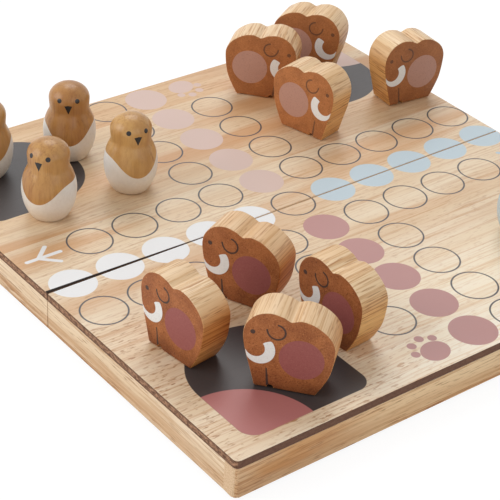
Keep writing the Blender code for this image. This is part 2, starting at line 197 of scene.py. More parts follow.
# The tusk and the ear's stroke go round a middle, from a first angle to a last one in degrees.
# Their radii are given as the terms of a power series in the share of that sweep.
TUSK = (-0.0132, 0.0190)
TUSK_SWEEP = (177, 432)
TUSK_TIP_SOFTNESS = 0.02
TUSK_OUTER = (0.00540, 0.00305, 0.00079)
TUSK_INNER = (0.00554, -0.01093, 0.01068)
TUSK_ROOT = (-0.0089, 0.0246)
TUSK_ROOT_SLOPE = 0.45
TUSK_ROOT_HALF_WIDTH = 0.0020
TUSK_ROOT_ROUND = 0.0006
TUSK_ROOT_DROP = TUSK_ROOT_ROUND * 2.5
TUSK_ROOT_POWER = 4.0
EAR = (-0.0050, 0.0306)
EAR_SWEEP = (168, 447)
EAR_STROKE = (0.00443, -0.00520, 0.01529, -0.01722, 0.00654)
EAR_WIDTH = 0.00092
EAR_END_SOFTNESS = 0.01

# Chick
CHICK_HEIGHT = 0.0432
CHICK_BASE_RADIUS = 0.0093
CHICK_BODY_RADIUS = 0.0142
CHICK_BODY_LEVEL = 0.0155
CHICK_NECK_RADIUS = 0.0105
CHICK_NECK_LEVEL = 0.0285
CHICK_HEAD_RADIUS = 0.0109
CHICK_HEAD_LEVEL = 0.0350
CHICK_SIDES = 72
CHICK_RINGS = 12
CHICK_FOOT_ROUND = 0.0005
CHICK_FOOT_STEPS = 3
CHICK_NECK_ROUND = 0.0012
CHICK_NECK_STEPS = 4
EGG_EDGE_LEVEL = 0.0222
EGG_EDGE_DIP = 0.0104
EGG_EDGE_SOFTNESS = 0.00025
# Painted shade on the egg, darker and warmer at its foot and towards its front
EGG_FOOT_SHADE_LEVEL = 0.006
EGG_FOOT_SHADE_SOFTNESS = 0.012
CHICK_EYE_ANGLE = 26.8
CHICK_EYE_LEVEL = 0.0373
CHICK_EYE_RADIUS = 0.0014
BEAK_TOP = 0.0351
BEAK_TOP_SLOPE = 0.2
BEAK_TIP = 0.0298
BEAK_HALF_WIDTH = 0.0023

# Felt pad
PAD_PINCH = 0.0004
PAD_SIDES = 48
PAD_RINGS = 10

# Die
DIE_SIDE = 0.014
DIE_ROUND = 0.0018
DIE_ROUND_STEPS = 5
PIP_RADIUS = 0.0012
PIP_DEPTH = 0.0005
PIP_SPREAD = 0.0034
PIP_SEGMENTS = 32
PIP_RINGS = 24

# How far each piece is turned about +Z, in degrees, as its solid is
TURNS = {
    "rose_mammoth": (-83, -65, -51, -85),
    "pink_mammoth": (130, 121, 104, -7),
    "white_egg_chick": (-14, -35, -60, -20),
    "blue_egg_chick": (35, 10, 60, 40),
}
DIE_TURN = 24
# How much darker than the palest one each of a team's pieces is
TONES = {
    "rose_mammoth": (0.55, 1.0, 0.50, 0.0),
    "pink_mammoth": (0.4, 0.0, 0.2, 0.0),
    "white_egg_chick": (0.0, 0.55, 0.35, 0.15),
    "blue_egg_chick": (0.1, 0.5, 0.25, 0.0),
}
# How much darker each mammoth's sides are
SIDE_DARKENING = {"rose_mammoth": (0.0, 0.0, 0.1, 0.3), "pink_mammoth": (0.2, 0.3, 0.0, 0.5)}
# Where in the noise each team's grain starts, and how far on the next piece's lies
SEEDS = {"rose_mammoth": 1.0, "pink_mammoth": 11.0, "white_egg_chick": 21.0, "blue_egg_chick": 31.0}
SEED_STEP = 1.7

# Camera and light
IMAGE_SIDE = 500
FOCAL_PIXELS = 1693.1
SENSOR_WIDTH = 36
CAMERA_PLACE = (-0.49759, -0.57463, 0.48414)
CAMERA_TURN = (57.093, -2.895, -37.459)
VIEW_AZIMUTH = 41.65
FILL_STRENGTH = 0.45
FLOOR_SIDE = 30.0
FLOOR_LIT = 0.9
FLOOR_SEEN = 0.12
FLOOR_GLOW = 0.91
# Angles in degrees as seen from the camera, with azimuth 0 behind the board, and power in watts
SOFTBOXES = {
    "back_softbox": {"azimuth": 8, "elevation": 54, "distance": 3.6, "size": (2.0, 1.8), "power": 40.0},
    "left_softbox": {"azimuth": 108, "elevation": 30, "distance": 3.4, "size": (2.4, 2.4), "power": 55.0},
    "front_softbox": {"azimuth": -140, "elevation": 25, "distance": 3.0, "size": (2.1, 2.1), "power": 11.0},
}


class Wire:
    """A socket among a material's nodes. Arithmetic on wires adds the Math nodes that work it out."""

    def __init__(self, tree, socket=None):
        self.tree = tree
        self.socket = socket

    def node(self, kind, settings=None, inputs=None, output=0):
        """Adds a node with its settings, then its sockets' values or links, and gives one of its outputs."""
        made = self.tree.nodes.new(kind)
        for name, value in (settings or {}).items():
            setattr(made, name, value)
        for name, value in (inputs or {}).items():
            if isinstance(value, Wire):
                self.tree.links.new(value.socket, made.inputs[name])
            else:
                made.inputs[name].default_value = value
        return Wire(self.tree, made.outputs[output])

    def math(self, operation, *others):
        return self.node("ShaderNodeMath", {"operation": operation}, dict(enumerate((self, *others))))

    def taken_from(self, operation, other):
        return self.node("ShaderNodeMath", {"operation": operation}, {0: other, 1: self})

    def __add__(self, other):
        return self.math("ADD", other)

    __radd__ = __add__

    def __sub__(self, other):
        return self.math("SUBTRACT", other)

    def __rsub__(self, other):
        return self.taken_from("SUBTRACT", other)

    def __mul__(self, other):
        return self.math("MULTIPLY", other)

    __rmul__ = __mul__

    def __truediv__(self, other):
        return self.math("DIVIDE", other)

    def __rtruediv__(self, other):
        return self.taken_from("DIVIDE", other)

    def __neg__(self):
        return self * -1.0

    def __abs__(self):
        return self.math("ABSOLUTE")

    def least(self, other):
        return self.math("MINIMUM", other)

    def most(self, other):
        return self.math("MAXIMUM", other)

    def length(self, other):
        """How long the diagonal is over this side and another one."""
        return (self * self + other * other).math("SQRT")

    def rise(self, low, high):
        """0 below low, 1 above high, smooth between."""
        inputs = {"Value": self, "From Min": low, "From Max": high}
        return self.node("ShaderNodeMapRange", {"interpolation_type": "SMOOTHSTEP"}, inputs)

    def under(self, edge, softness):
        """1 where the value is under an edge, which may be a wire, with a soft step there."""
        return 1 - (self - edge).rise(-softness / 2, softness / 2)

    def mix(self, below, above, style="MIX"):
        """A colour that goes from one to another as this wire goes from 0 to 1."""
        settings = {"data_type": "RGBA", "blend_type": style}
        return self.node("ShaderNodeMix", settings, {0: self, 6: below, 7: above}, output=2)

    def toward(self, other, share):
        """This colour, taken the same share of the way to another all over."""
        return self.node("ShaderNodeMix", {"data_type": "RGBA"}, {0: share, 6: self, 7: other}, output=2)

    def vector(self, operation, other):
        return self.node("ShaderNodeVectorMath", {"operation": operation}, {0: self, 1: other})

    def split(self):
        return [self.node("ShaderNodeSeparateXYZ", None, {0: self}, output=i) for i in range(3)]

    def join(self, x, y, z):
        return self.node("ShaderNodeCombineXYZ", None, {0: x, 1: y, 2: z})

    def noise(self, scale, detail=2.0, roughness=0.5, seed=0.0):
        """Noise around 0.5, with its own scale along each axis."""
        inputs = {"Vector": self.vector("MULTIPLY", scale), "W": seed, "Scale": 1.0}
        inputs.update({"Detail": detail, "Roughness": roughness})
        return self.node("ShaderNodeTexNoise", {"noise_dimensions": "4D"}, inputs)

    def distance(self, point):
        return self.node("ShaderNodeVectorMath", {"operation": "DISTANCE"}, {0: self, 1: point}, output=1)


def shade(red, green, blue):
    """A colour as the shader takes it, from one written as it shows on a screen."""
    linear = []
    for value in (red / 255, green / 255, blue / 255):
        linear.append(value / 12.92 if value <= 0.04045 else ((value + 0.055) / 1.055) ** 2.4)
    return (*linear, 1.0)


def grey(value):
    """A neutral colour as the shader takes it, from 0 to 1."""
    return (value, value, value, 1.0)


def new_finish(name):
    """A new material, with its Object coordinates as the wire that its pattern starts from."""
    material = bpy.data.materials.new(name)
    material.use_nodes = True
    place = Wire(material.node_tree).node("ShaderNodeTexCoord", output="Object")
    return material, place


def carried(place, name, output="Vector"):
    """An attribute that a piece carries on its points."""
    return place.node("ShaderNodeAttribute", {"attribute_name": name}, output=output)


def dress(material, varying, constant, height=None, bump=0.0):
    """Feeds a finish into its shader: what varies as wires, what is the same all over as values."""
    tree = material.node_tree
    shader = tree.nodes["Principled BSDF"]
    for name, wire in varying.items():
        tree.links.new(wire.socket, shader.inputs[name])
    for name, value in constant.items():
        shader.inputs[name].default_value = value
    if height:
        inputs = {"Strength": bump, "Distance": BUMP_DEPTH, "Height": height}
        relief = height.node("ShaderNodeBump", None, inputs)
        tree.links.new(relief.socket, shader.inputs["Normal"])
    return material


def between(share, first, second):
    """Tones of wood that go from one set to another as a wire goes from 0 to 1."""
    return [share.mix(shade(*one), shade(*other)) for one, other in zip(first, second)]


def timber(spot, tones, seed, streaks, pores, pore_run, fineness, pore_fineness, clumps=0.75):
    """Wood in a frame whose X runs along the grain: its colour, and how open its grain is.

    Streaks and pores are how strongly these show, and clumps is how unevenly. The other numbers are noise
    per metre: along a pore, across a streak and across a pore.
    """
    pale, middle, deep, pore = tones
    sway = (spot.noise(SWAY, 2, 0.5, seed) - 0.5) * SWAY_REACH
    spot = spot.vector("ADD", spot.join(0.0, sway, sway))
    figure = spot.noise(FIGURE, 3, 0.55, seed)
    bold = spot.noise(CLUMPS, 2, 0.5, seed + CLUMP_SEED).rise(*CLUMP_RANGE) * clumps + 1 - clumps
    streak = spot.noise((STREAK_RUN, fineness, fineness), 3, 0.6, seed).rise(*STREAK_RANGE) * bold
    vessel = spot.noise((pore_run, pore_fineness, pore_fineness), 2, 0.5, seed).rise(*PORE_RANGE) * bold
    colour = figure.rise(*FIGURE_RANGE).mix(pale, middle)
    colour = (streak * streaks).mix(colour, deep)
    colour = (vessel * pores).mix(colour, pore)
    return colour, vessel * PORE_DEPTH + streak * STREAK_DEPTH


def outer_face(place):
    """1 on the two outer faces of the board that lie across an axis."""
    return abs(place).rise(BOARD_SIDE / 2 - FACE_START, BOARD_SIDE / 2 - FACE_FULL)


def strip_tone(y):
    """How dark the veneer's strip is at a place between the front edge and the rear one."""
    tone = STRIP_TONES[0]
    first = -len(STRIP_TONES) / 2
    for i, (before, after) in enumerate(zip(STRIP_TONES, STRIP_TONES[1:]), 1):
        edge = (first + i) * STRIP_CELLS * CELL
        tone = tone + (1 - y.under(edge, STRIP_SEAM)) * (after - before)
    return tone


def veneer(place, x, y):
    """The panels' wood, laid in strips that run along the fold and differ in tone."""
    amber, darkened = shade(206, 152, 98), shade(240, 216, 186)
    tone = strip_tone(y)
    spot = place.vector("ADD", place.join(tone * STRIP_SHIFT, 0.0, 0.0))
    # Paler veneer at the front right, a painted sheen
    pale = x.rise(*SHEEN_VENEER_X) * (1 - y.rise(*SHEEN_VENEER_Y))
    far = y.rise(*FAR_VENEER_Y)
    open_grain = (1 - x.rise(*OPEN_GRAIN_X)) * (1 - far)
    wood, relief = timber(
        spot,
        between(pale, VENEER_TONES, SHEEN_VENEER_TONES),
        seed=0.0,
        streaks=0.70 - far * 0.20,
        pores=0.30 + open_grain * 0.70,
        pore_run=200,
        fineness=850,
        pore_fineness=800,
        clumps=0.5,
    )
    warm = spot.noise((5, 45, 45), 2, 0.5, seed=4.0).rise(0.46, 0.68)
    wood = (warm * (far * 0.60 + 0.15)).mix(wood, amber)
    return (tone * 0.8).mix(wood, darkened, "MULTIPLY"), relief


def paw_print(u, v):
    """A round pad and four toes, as one team's start mark."""
    turn = math.radians(PAW_TURN)
    u, v = u * math.cos(turn) + v * math.sin(turn), v * math.cos(turn) - u * math.sin(turn)
    x, y = PAW_PAD
    wide, long = PAW_PAD_RADII
    mark = ((u - x) / wide).length((v - y) / long).under(1.0, INK_SOFTNESS / wide)
    for x, y, radius in PAW_TOES:
        mark = mark.most((abs(u) - x).length(v - y).under(radius, INK_SOFTNESS))
    return mark


def bird_track(u, v):
    """Three toes forwards and one back, as another team's start mark."""
    heel_x, heel_y = TRACK_HEEL
    u, v = abs(u) - heel_x, v - heel_y
    mark = 0.0
    for tip_x, tip_y in TRACK_TOES:
        toe = Vector((tip_x - heel_x, tip_y - heel_y))
        along = ((u * toe.x + v * toe.y) / toe.length_squared).most(0.0).least(1.0)
        off = (u - along * toe.x).length(v - along * toe.y)
        mark = off.under(TRACK_TOE_WIDTH / 2, INK_SOFTNESS).most(mark)
    return mark


def printed_track(x, y, wood, inks):
    """The track's ink on the wood, from places in track cells: the colour, and where the ink is."""
    rose, pink, white, blue, line = inks
    column, row = x.math("ROUND"), y.math("ROUND")
    off_x, off_y = x - column, y - row
    reach = abs(column).most(abs(row))
    width = abs(column).least(abs(row))
    track = reach.under(ARM_REACH + 0.5, SIDE_STEP) * width.under(ARM_HALF_WIDTH + 0.5, SIDE_STEP)
    home = width.under(0.5, SIDE_STEP) * (1 - reach.under(0.5, SIDE_STEP)) * track
    ends = (column * column + row * row).math("COMPARE", ARM_REACH**2 + ARM_HALF_WIDTH**2, 0.1)
    start = ends * (column * row * (abs(row) - abs(column))).rise(0.0, 1.0)
    upright = abs(column).under(abs(row), SIDE_STEP)

    radius = off_x.length(off_y)
    rings = abs(radius - RING_RADIUS).under(RING_WIDTH / 2, INK_SOFTNESS) * track * (1 - home) * (1 - start)
    spots = radius.under(SPOT_RADIUS, INK_SOFTNESS) * home
    ahead = -(column + row).math("SIGN")
    paw = paw_print(off_x * ahead, off_y * ahead) * upright
    bird = bird_track(off_y * ahead, off_x * ahead) * (1 - upright)
    marks = spots.most((paw + bird) * start)
    left, front = column.under(0.0, SIDE_STEP), row.under(0.0, SIDE_STEP)
    team = upright.mix(left.mix(blue, white), front.mix(pink, rose))
    return marks.mix(rings.mix(wood, line), team), rings.most(marks)


def printed_yards(x, y, under, inks):
    """A dark arch at each corner, a quarter turn on from the last, with the team's colour at its tip."""
    rose, pink, white, blue, dark = inks
    same = (x * y).rise(0.0, SIDE_STEP)
    out_x, out_y = abs(x), abs(y)
    across = (out_x - out_y) * same + out_y - YARD_MIDDLE[0]
    along = (out_y - out_x) * same + out_x - YARD_MIDDLE[1]
    rounding = along.rise(-SIDE_STEP, SIDE_STEP) * (YARD_TIP_ROUND - YARD_ARCH_ROUND) + YARD_ARCH_ROUND
    over_x = (abs(across) - YARD_HALF_SIDE + rounding).most(0.0)
    over_y = (abs(along) - YARD_HALF_SIDE + rounding).most(0.0)
    yard = over_x.length(over_y).under(rounding, INK_SOFTNESS)
    tip = (YARD_HALF_SIDE - across).length(YARD_HALF_SIDE - along).under(YARD_QUARTER, INK_SOFTNESS)
    left = x.under(0.0, SIDE_STEP)
    team = y.under(0.0, SIDE_STEP).mix(left.mix(pink, white), left.mix(blue, rose))
    return (tip * yard).mix(yard.mix(under, dark), team), yard


def panel_core(place, x, y, z):
    """The brown board between the veneers, as its edges show it: darker outside, with painted shade lines
    along its top and foot, paler in the fold.
    """
    dark_chip, pale_chip = shade(98, 66, 48), shade(176, 134, 104)
    joint_shade_brown, sawn, fold_wall = shade(94, 64, 48), shade(104, 72, 57), shade(222, 192, 158)
    chips = place.noise((420, 420, 800), 3, 0.7).rise(0.38, 0.62)
    depth = PANEL_HIGH.z - z
    # Painted shade lines along the core's top and foot, where it meets the veneer and the rail
    joint_shade_bands = 1 - abs(depth - CORE_PALE_DEPTH).under(CORE_PALE_HALF, CORE_PALE_SOFTNESS)
    core = (joint_shade_bands * 0.75).mix(chips.mix(dark_chip, pale_chip), joint_shade_brown)
    core = (outer_face(y) * 0.85).mix(core, sawn)
    fold = abs(y).under(FOLD_EDGE, FOLD_SOFTNESS)
    brown_until, pale_from = (cells * CELL for cells in FOLD_PALING)
    return (fold * x.rise(brown_until, pale_from)).mix(core, fold_wall)


def printed_panel():
    """Printed veneer on top, a brown core at the edges and bare veneer below."""
    material, place = new_finish("printed_panel")
    x, y, z = place.split()
    wood, relief = veneer(place, x, y)
    rose, pink = shade(185, 135, 130), shade(214, 186, 174)
    white, blue = shade(235, 235, 235), shade(190, 206, 214)
    line, dark = shade(70, 66, 70), shade(62, 56, 56)
    deep_rose, fold_shadow_paint = shade(178, 112, 108), shade(34, 24, 18)
    cells_x, cells_y = x / CELL - PRINT_SHIFT[0], y / CELL - PRINT_SHIFT[1]
    inked, ink = printed_track(cells_x, cells_y, wood, (rose, pink, white, blue, line))
    inked, yard = printed_yards(cells_x, cells_y, inked, (deep_rose, pink, white, blue, dark))
    ink = ink.most(yard)

    # Painted shadow of the fold's gap along the rear panel's edge, widening to the left
    fold_shadow_width = (-cells_x - FOLD_SHADOW_START).most(0.0) * FOLD_SHADOW_GROWTH
    fold_shadow = y.under(fold_shadow_width + PANEL_LOW.y, FOLD_SHADOW_SOFTNESS) * (1 - y.under(0.0, FOLD_SOFTNESS))
    inked = fold_shadow.mix(inked, fold_shadow_paint)
    top = 1 - z.under(PANEL_HIGH.z - VENEER, VENEER_SOFTNESS)
    back = z.under(PANEL_LOW.z + BACK_VENEER, VENEER_SOFTNESS)
    colour = back.mix(top.mix(panel_core(place, x, y, z), inked), wood)
    bare = (1 - top).most(fold_shadow)
    roughness = 0.40 + relief * 0.12 + ink * top * 0.02 + bare * 0.25
    varying = {"Base Color": colour, "Roughness": roughness, "Coat Weight": (1 - bare) * 0.5}
    return dress(material, varying, {"Specular IOR Level": 0.2, "Coat Roughness": 0.38}, relief, 0.12)


def rail_wood(name, along, left_tones, right_tones, tint, heart):
    """Pale solid wood with its grain along a rail, and browner streaks along its foot.

    Heart is how strong those streaks are, and tint is the colour of the clouds in the wood. A rail along X
    shows its end grain at the board's sides.
    """
    end_fibre, end_wood = shade(206, 170, 132), shade(228, 198, 162)
    material, place = new_finish(name)
    x, y, z = place.split()
    spot = place if along == "X" else place.join(y, x, z)
    # Left tones to right tones; on the rails along X the right ones are paler, as painted light
    tones = between(x.rise(*RAIL_PAINTED_LIGHT_X), left_tones, right_tones)
    wood, relief = timber(
        spot, tones, seed=5.0, streaks=1.0, pores=0.85, pore_run=110, fineness=800, pore_fineness=1520
    )
    wander = (spot.noise((18, 40, 40), 2) - 0.5) * RAIL_FOOT_WANDER
    low = (z + wander).under(PANEL_LOW.z * RAIL_FOOT, RAIL_FOOT_SOFTNESS)
    band = spot.noise((9, 420, 420), 3, 0.6, seed=3.0).rise(0.38, 0.60) * 0.8 + 0.2
    wood = (low * band * heart).mix(wood, shade(214, 180, 146), "MULTIPLY")
    cloud = spot.noise((16, 70, 70), 3, 0.6, seed=6.0).rise(0.42, 0.66)
    cloud = (cloud * 0.6 + 0.4) * (1 - x.rise(*RAIL_CLOUDS_X) * 0.75)
    wood = cloud.mix(wood, tint, "MULTIPLY")
    if along == "X":
        fibres = place.noise((300, 1500, 1500), 3, 0.6).rise(0.35, 0.65)
        wood = outer_face(x).mix(wood, fibres.mix(end_fibre, end_wood))
    varying = {"Base Color": wood, "Roughness": 0.5 + relief * 0.16}
    return dress(material, varying, {"Specular IOR Level": 0.2}, relief, 0.2)


def swept_mark(x, z, middle, sweep):
    """Distance from a mark's middle, and the share of its sweep, for a place on a mammoth's side."""
    off_x, off_z = x - middle[0], z - middle[1]
    first, last = (math.radians(angle) for angle in sweep)
    turned = off_z.math("ARCTAN2", off_x) - first
    return off_x.length(off_z), turned.math("WRAP", math.tau, 0.0) / (last - first)


def series(share, terms):
    """The value of a power series with the given terms."""
    value = terms[-1]
    for term in reversed(terms[:-1]):
        value = share * value + term
    return value


def mammoth_marks(x, z):
    """Masks of the patch, the tusk and the dark strokes on a mammoth's side."""
    patch = (x - PATCH[0]).length(z - PATCH[1]).under(PATCH_RADIUS, MARK_SOFTNESS)
    eye = (x - EYE[0]).length(z - EYE[1]).under(EYE_RADIUS, MARK_SOFTNESS)
    radius, share = swept_mark(x, z, TUSK, TUSK_SWEEP)
    tusk = radius.under(series(share, TUSK_OUTER), MARK_SOFTNESS) * share.under(1.0, TUSK_TIP_SOFTNESS)
    tusk = tusk * (1 - radius.under(series(share, TUSK_INNER), MARK_SOFTNESS))
    root_x = x - TUSK_ROOT[0]
    corner = (root_x / TUSK_ROOT_HALF_WIDTH).math("POWER", TUSK_ROOT_POWER) * TUSK_ROOT_ROUND
    end = root_x * TUSK_ROOT_SLOPE + TUSK_ROOT[1] - corner.least(TUSK_ROOT_DROP)
    tusk = tusk * z.under(end, MARK_SOFTNESS)
    radius, share = swept_mark(x, z, EAR, EAR_SWEEP)
    ear = abs(radius - series(share, EAR_STROKE)).under(EAR_WIDTH / 2, MARK_SOFTNESS)
    ear = ear * share.under(1.0, EAR_END_SOFTNESS)
    drop = (LEG_TOP[1] - z) / (LEG_TOP[1] - LEG_FOOT[1])
    shift = abs(x - (drop * (LEG_FOOT[0] - LEG_TOP[0]) + LEG_TOP[0]))
    leg = shift.under((drop * (LEG_WIDTHS[1] - LEG_WIDTHS[0]) + LEG_WIDTHS[0]) / 2, MARK_SOFTNESS)
    leg = leg * (1 - drop.under(0.0, LEG_END_SOFTNESS)) * drop.under(LEG_OVERRUN, LEG_END_SOFTNESS)
    return patch, tusk, eye.most(ear).most(leg)


def mammoth_rim(place, local, seed, polish_and_sheen):
    """The streaked wood across a mammoth's thickness, paler on top as a painted sheen and darker on some
    pieces.
    """
    x, y, z = local.split()
    wood, relief = timber(
        local.join(y, x, z),
        between(polish_and_sheen, RIM_TONES, SHEEN_RIM_TONES),
        seed=seed,
        streaks=0.80,
        pores=0.75,
        pore_run=75,
        fineness=980,
        pore_fineness=1050,
        clumps=0.35,
    )
    darker = (1 - polish_and_sheen * 0.85) * carried(place, "tone", "Fac")
    return darker.mix(wood, shade(214, 156, 88), "MULTIPLY"), relief


def mammoth_finish(name, patch_paint, stroke, bleach, foot_shade):
    """Slice across the grain: pale streaked rim, and brown sides with the mammoth's marks printed on.

    Stroke is how dark the printed strokes are, bleach is how pale the sides are, and the last argument is
    how much painted shade darkens them towards the foot.
    """
    brown, deep_brown = shade(172, 104, 58), shade(150, 86, 46)
    dark_dot, pale_fleck = shade(98, 50, 24), shade(208, 144, 90)
    bleached, foot_shade_paint, side_darkened = shade(214, 150, 92), shade(194, 182, 172), shade(214, 208, 206)
    patch_dot, patch_fleck = shade(92, 48, 42), shade(206, 150, 124)
    ivory, ivory_dot, stroke_paint = shade(232, 230, 226), shade(186, 181, 176), shade(50, 44, 43)
    material, place = new_finish(name)
    local = carried(place, "local")
    seed = carried(place, "seed", "Fac")
    x, y, z = local.split()
    # Polished towards the top, where the rim's colour is also paler as a painted sheen
    polish_and_sheen = z.rise(*(MAMMOTH_HEIGHT * share for share in RIM_POLISH_AND_SHEEN))
    wood, relief = mammoth_rim(place, local, seed, polish_and_sheen)

    speck = local.noise((1700, 300, 1700), 3, 0.65, seed)
    dots = speck.rise(0.52, 0.68)
    flecks = (1 - speck).rise(0.54, 0.70)
    cloud = local.noise((110, 110, 110), 3, 0.55, seed)
    side = cloud.rise(0.35, 0.65).mix(brown, deep_brown)
    side = (dots * 0.75).mix(side, dark_dot)
    side = (flecks * 0.50).mix(side, pale_fleck)
    side = side.toward(bleached, bleach)
    # Painted shade: the sides darker towards the foot
    low = z.under(MAMMOTH_HEIGHT * FOOT_SHADE_LEVEL, MAMMOTH_HEIGHT * FOOT_SHADE_SOFTNESS)
    side = (low * foot_shade).mix(side, foot_shade_paint, "MULTIPLY")
    side = carried(place, "side_darkening", "Fac").mix(side, side_darkened, "MULTIPLY")

    patch, tusk, strokes = mammoth_marks(x, z)
    paint = (dots * 0.22).mix(patch_paint, patch_dot)
    paint = (flecks * 0.14).mix(paint, patch_fleck)
    side = patch.mix(side, paint)
    side = tusk.mix(side, (dots * 0.35).mix(ivory, ivory_dot))
    side = (strokes * stroke).mix(side, stroke_paint)
    printed = abs(y).rise(*(MAMMOTH_THICKNESS / 2 - MAMMOTH_ARRIS * share for share in PRINT_EDGE))
    height = printed * (speck * 0.5 - relief) + relief
    varying = {
        "Base Color": printed.mix(wood, side),
        "Roughness": 0.42 + relief * 0.14 + printed * 0.10,
        "Coat Weight": (1 - printed) * polish_and_sheen * 0.3,
    }
    return dress(material, varying, {"Specular IOR Level": 0.3, "Coat Roughness": 0.35}, height, 0.22)


def chick_face(local, x, y, z):
    """Mask of a chick's eyes and beak."""
    angle = math.radians(CHICK_EYE_ANGLE)
    eye = (CHICK_HEAD_RADIUS * math.sin(angle), -CHICK_HEAD_RADIUS * math.cos(angle), CHICK_EYE_LEVEL)
    eyes = local.join(abs(x), y, z).distance(eye).under(CHICK_EYE_RADIUS, MARK_SOFTNESS)
    taper = (z - BEAK_TIP) * (BEAK_HALF_WIDTH / (BEAK_TOP - BEAK_TIP))
    beak = abs(x).under(taper, MARK_SOFTNESS) * z.under(BEAK_TOP - abs(x) * BEAK_TOP_SLOPE, MARK_SOFTNESS)
    return eyes.most(beak * y.under(0.0, MARK_SOFTNESS))


def chick_finish(name, shell):
    """Turned golden wood with a painted egg shell, eyes and beak."""
    mottled, darker, face_paint = shade(166, 112, 58), shade(222, 198, 172), shade(30, 25, 24)
    shell_fleck, painted_shell_shade = shade(208, 200, 190), shade(242, 226, 206)
    material, place = new_finish(name)
    local = carried(place, "local")
    seed = carried(place, "seed", "Fac")
    x, y, z = local.split()
    wood, relief = timber(
        local.join(z, x, y),
        [shade(*tone) for tone in CHICK_TONES],
        seed=seed,
        streaks=0.50,
        pores=0.30,
        pore_run=60,
        fineness=700,
        pore_fineness=1330,
    )
    mottle = local.noise((260, 260, 120), 3, 0.6, seed).rise(0.40, 0.66)
    wood = (mottle * 0.30).mix(wood, mottled)
    wood = carried(place, "tone", "Fac").mix(wood, darker, "MULTIPLY")

    fleck = local.noise((700, 700, 700), 3, 0.6, seed)
    ahead = (-y).most(0.0) / CHICK_BODY_RADIUS
    edge = EGG_EDGE_LEVEL - ahead * ahead * ahead * EGG_EDGE_DIP
    egg = z.under(edge, EGG_EDGE_SOFTNESS)
    # Painted shade, darker and warmer on the egg's front and foot
    egg_painted_shade = (ahead * 0.5 + z.under(EGG_FOOT_SHADE_LEVEL, EGG_FOOT_SHADE_SOFTNESS) * 0.6).least(1.0)
    paint = (fleck.rise(0.3, 0.8) * 0.25).mix(shell, shell_fleck)
    paint = egg_painted_shade.mix(paint, painted_shell_shade, "MULTIPLY")
    colour = chick_face(local, x, y, z).mix(egg.mix(wood, paint), face_paint)
    height = egg * (fleck * 0.5 + 1.0 - relief) + relief
    varying = {"Base Color": colour, "Roughness": 0.40 + relief * 0.1 + egg * 0.06}
    constant = {"Specular IOR Level": 0.35, "Coat Weight": 0.30, "Coat Roughness": 0.16}
    return dress(material, varying, constant, height, 0.15)


def die_finish():
    """Pale wood with open pores."""
    material, place = new_finish("die_wood")
    wood, relief = timber(
        carried(place, "local"),
        [shade(*tone) for tone in DIE_TONES],
        seed=9.0,
        streaks=0.6,
        pores=0.6,
        pore_run=170,
        fineness=480,
        pore_fineness=912,
    )
    varying = {"Base Color": wood, "Roughness": 0.44 + relief * 0.14}
    return dress(material, varying, {"IOR": 1.48}, relief, 0.2)


def pip_finish():
    """Dark paint, a little uneven."""
    material, place = new_finish("die_pips")
    fleck = place.noise((1500, 1500, 1500), 2)
    paint = fleck.mix(shade(40, 35, 34), shade(70, 63, 60))
    return dress(material, {"Base Color": paint, "Roughness": 0.4 + fleck * 0.15}, {})


def metal_finish(name, bright, dull, stretch, roughness):
    """Drawn or stamped metal with fine lines along it and a little tarnish."""
    material, place = new_finish(name)
    lines = place.noise(stretch, 3, 0.6)
    cloud = place.noise((160, 160, 160), 3, 0.6)
    colour = (lines * 0.5 + cloud * 0.5).rise(0.3, 0.7).mix(shade(*dull), shade(*bright))
    rough = roughness + lines * 0.15 + cloud * 0.1
    return dress(material, {"Base Color": colour, "Roughness": rough}, {"Metallic": 1.0}, lines, 0.08)


def felt_finish():
    """Dark pressed felt with its fuzz."""
    material, place = new_finish("felt")
    fuzz = place.noise((2600, 2600, 2600), 4, 0.75)
    clump = place.noise((500, 500, 500), 2, 0.5)
    colour = (fuzz * 0.6 + clump * 0.4).rise(0.3, 0.7).mix(shade(48, 44, 42), shade(104, 96, 90))
    varying = {"Base Color": colour, "Roughness": 0.9 + fuzz * 0.1}
    return dress(material, varying, {"Sheen Weight": 0.4}, fuzz, 0.8)


def start_piece(add, **sizes):
    """Adds a primitive with nothing else selected and goes into edit mode on it."""
    bpy.ops.object.select_all(action="DESELECT")
    add(**sizes)
    bpy.ops.object.mode_set(mode="EDIT")
    return bpy.context.object


def select_edges(piece, wanted):
    """Selects the edges whose two ends pass a test."""
    bpy.ops.mesh.select_mode(type="EDGE")
    bpy.ops.mesh.select_all(action="DESELECT")
    shape = bmesh.from_edit_mesh(piece.data)
    for edge in shape.edges:
        edge.select = wanted(*(vert.co for vert in edge.verts))
    shape.select_flush(True)
    bmesh.update_edit_mesh(piece.data)


def end_piece(piece, sharp_from):
    """Leaves edit mode with the faces outwards, shades them smooth up to an angle in degrees, and puts the
    piece's own coordinates on its points."""
    bpy.ops.mesh.select_all(action="SELECT")
    bpy.ops.mesh.normals_make_consistent(inside=False)
    bpy.ops.object.mode_set(mode="OBJECT")
    bpy.ops.object.shade_smooth_by_angle(angle=math.radians(sharp_from))
    local = piece.data.attributes.new("local", "FLOAT_VECTOR", "POINT")
    for vertex, value in zip(piece.data.vertices, local.data):
        value.vector = vertex.co
    return piece


def smooth_curve(points, steps):
    """Points on a Catmull-Rom curve through the given ones, which it starts and ends at."""
    padded = (points[0], *points, points[-1])
    curve = [points[0]]
    for a, b, c, d in zip(padded, padded[1:], padded[2:], padded[3:]):
        for i in range(1, steps + 1):
            t = i / steps
            weights = (-t + 2 * t**2 - t**3, 2 - 5 * t**2 + 3 * t**3, t + 4 * t**2 - 3 * t**3, t**3 - t**2)
            curve.append(tuple(sum(w * p[k] for w, p in zip(weights, (a, b, c, d))) / 2 for k in (0, 1)))
    return curve


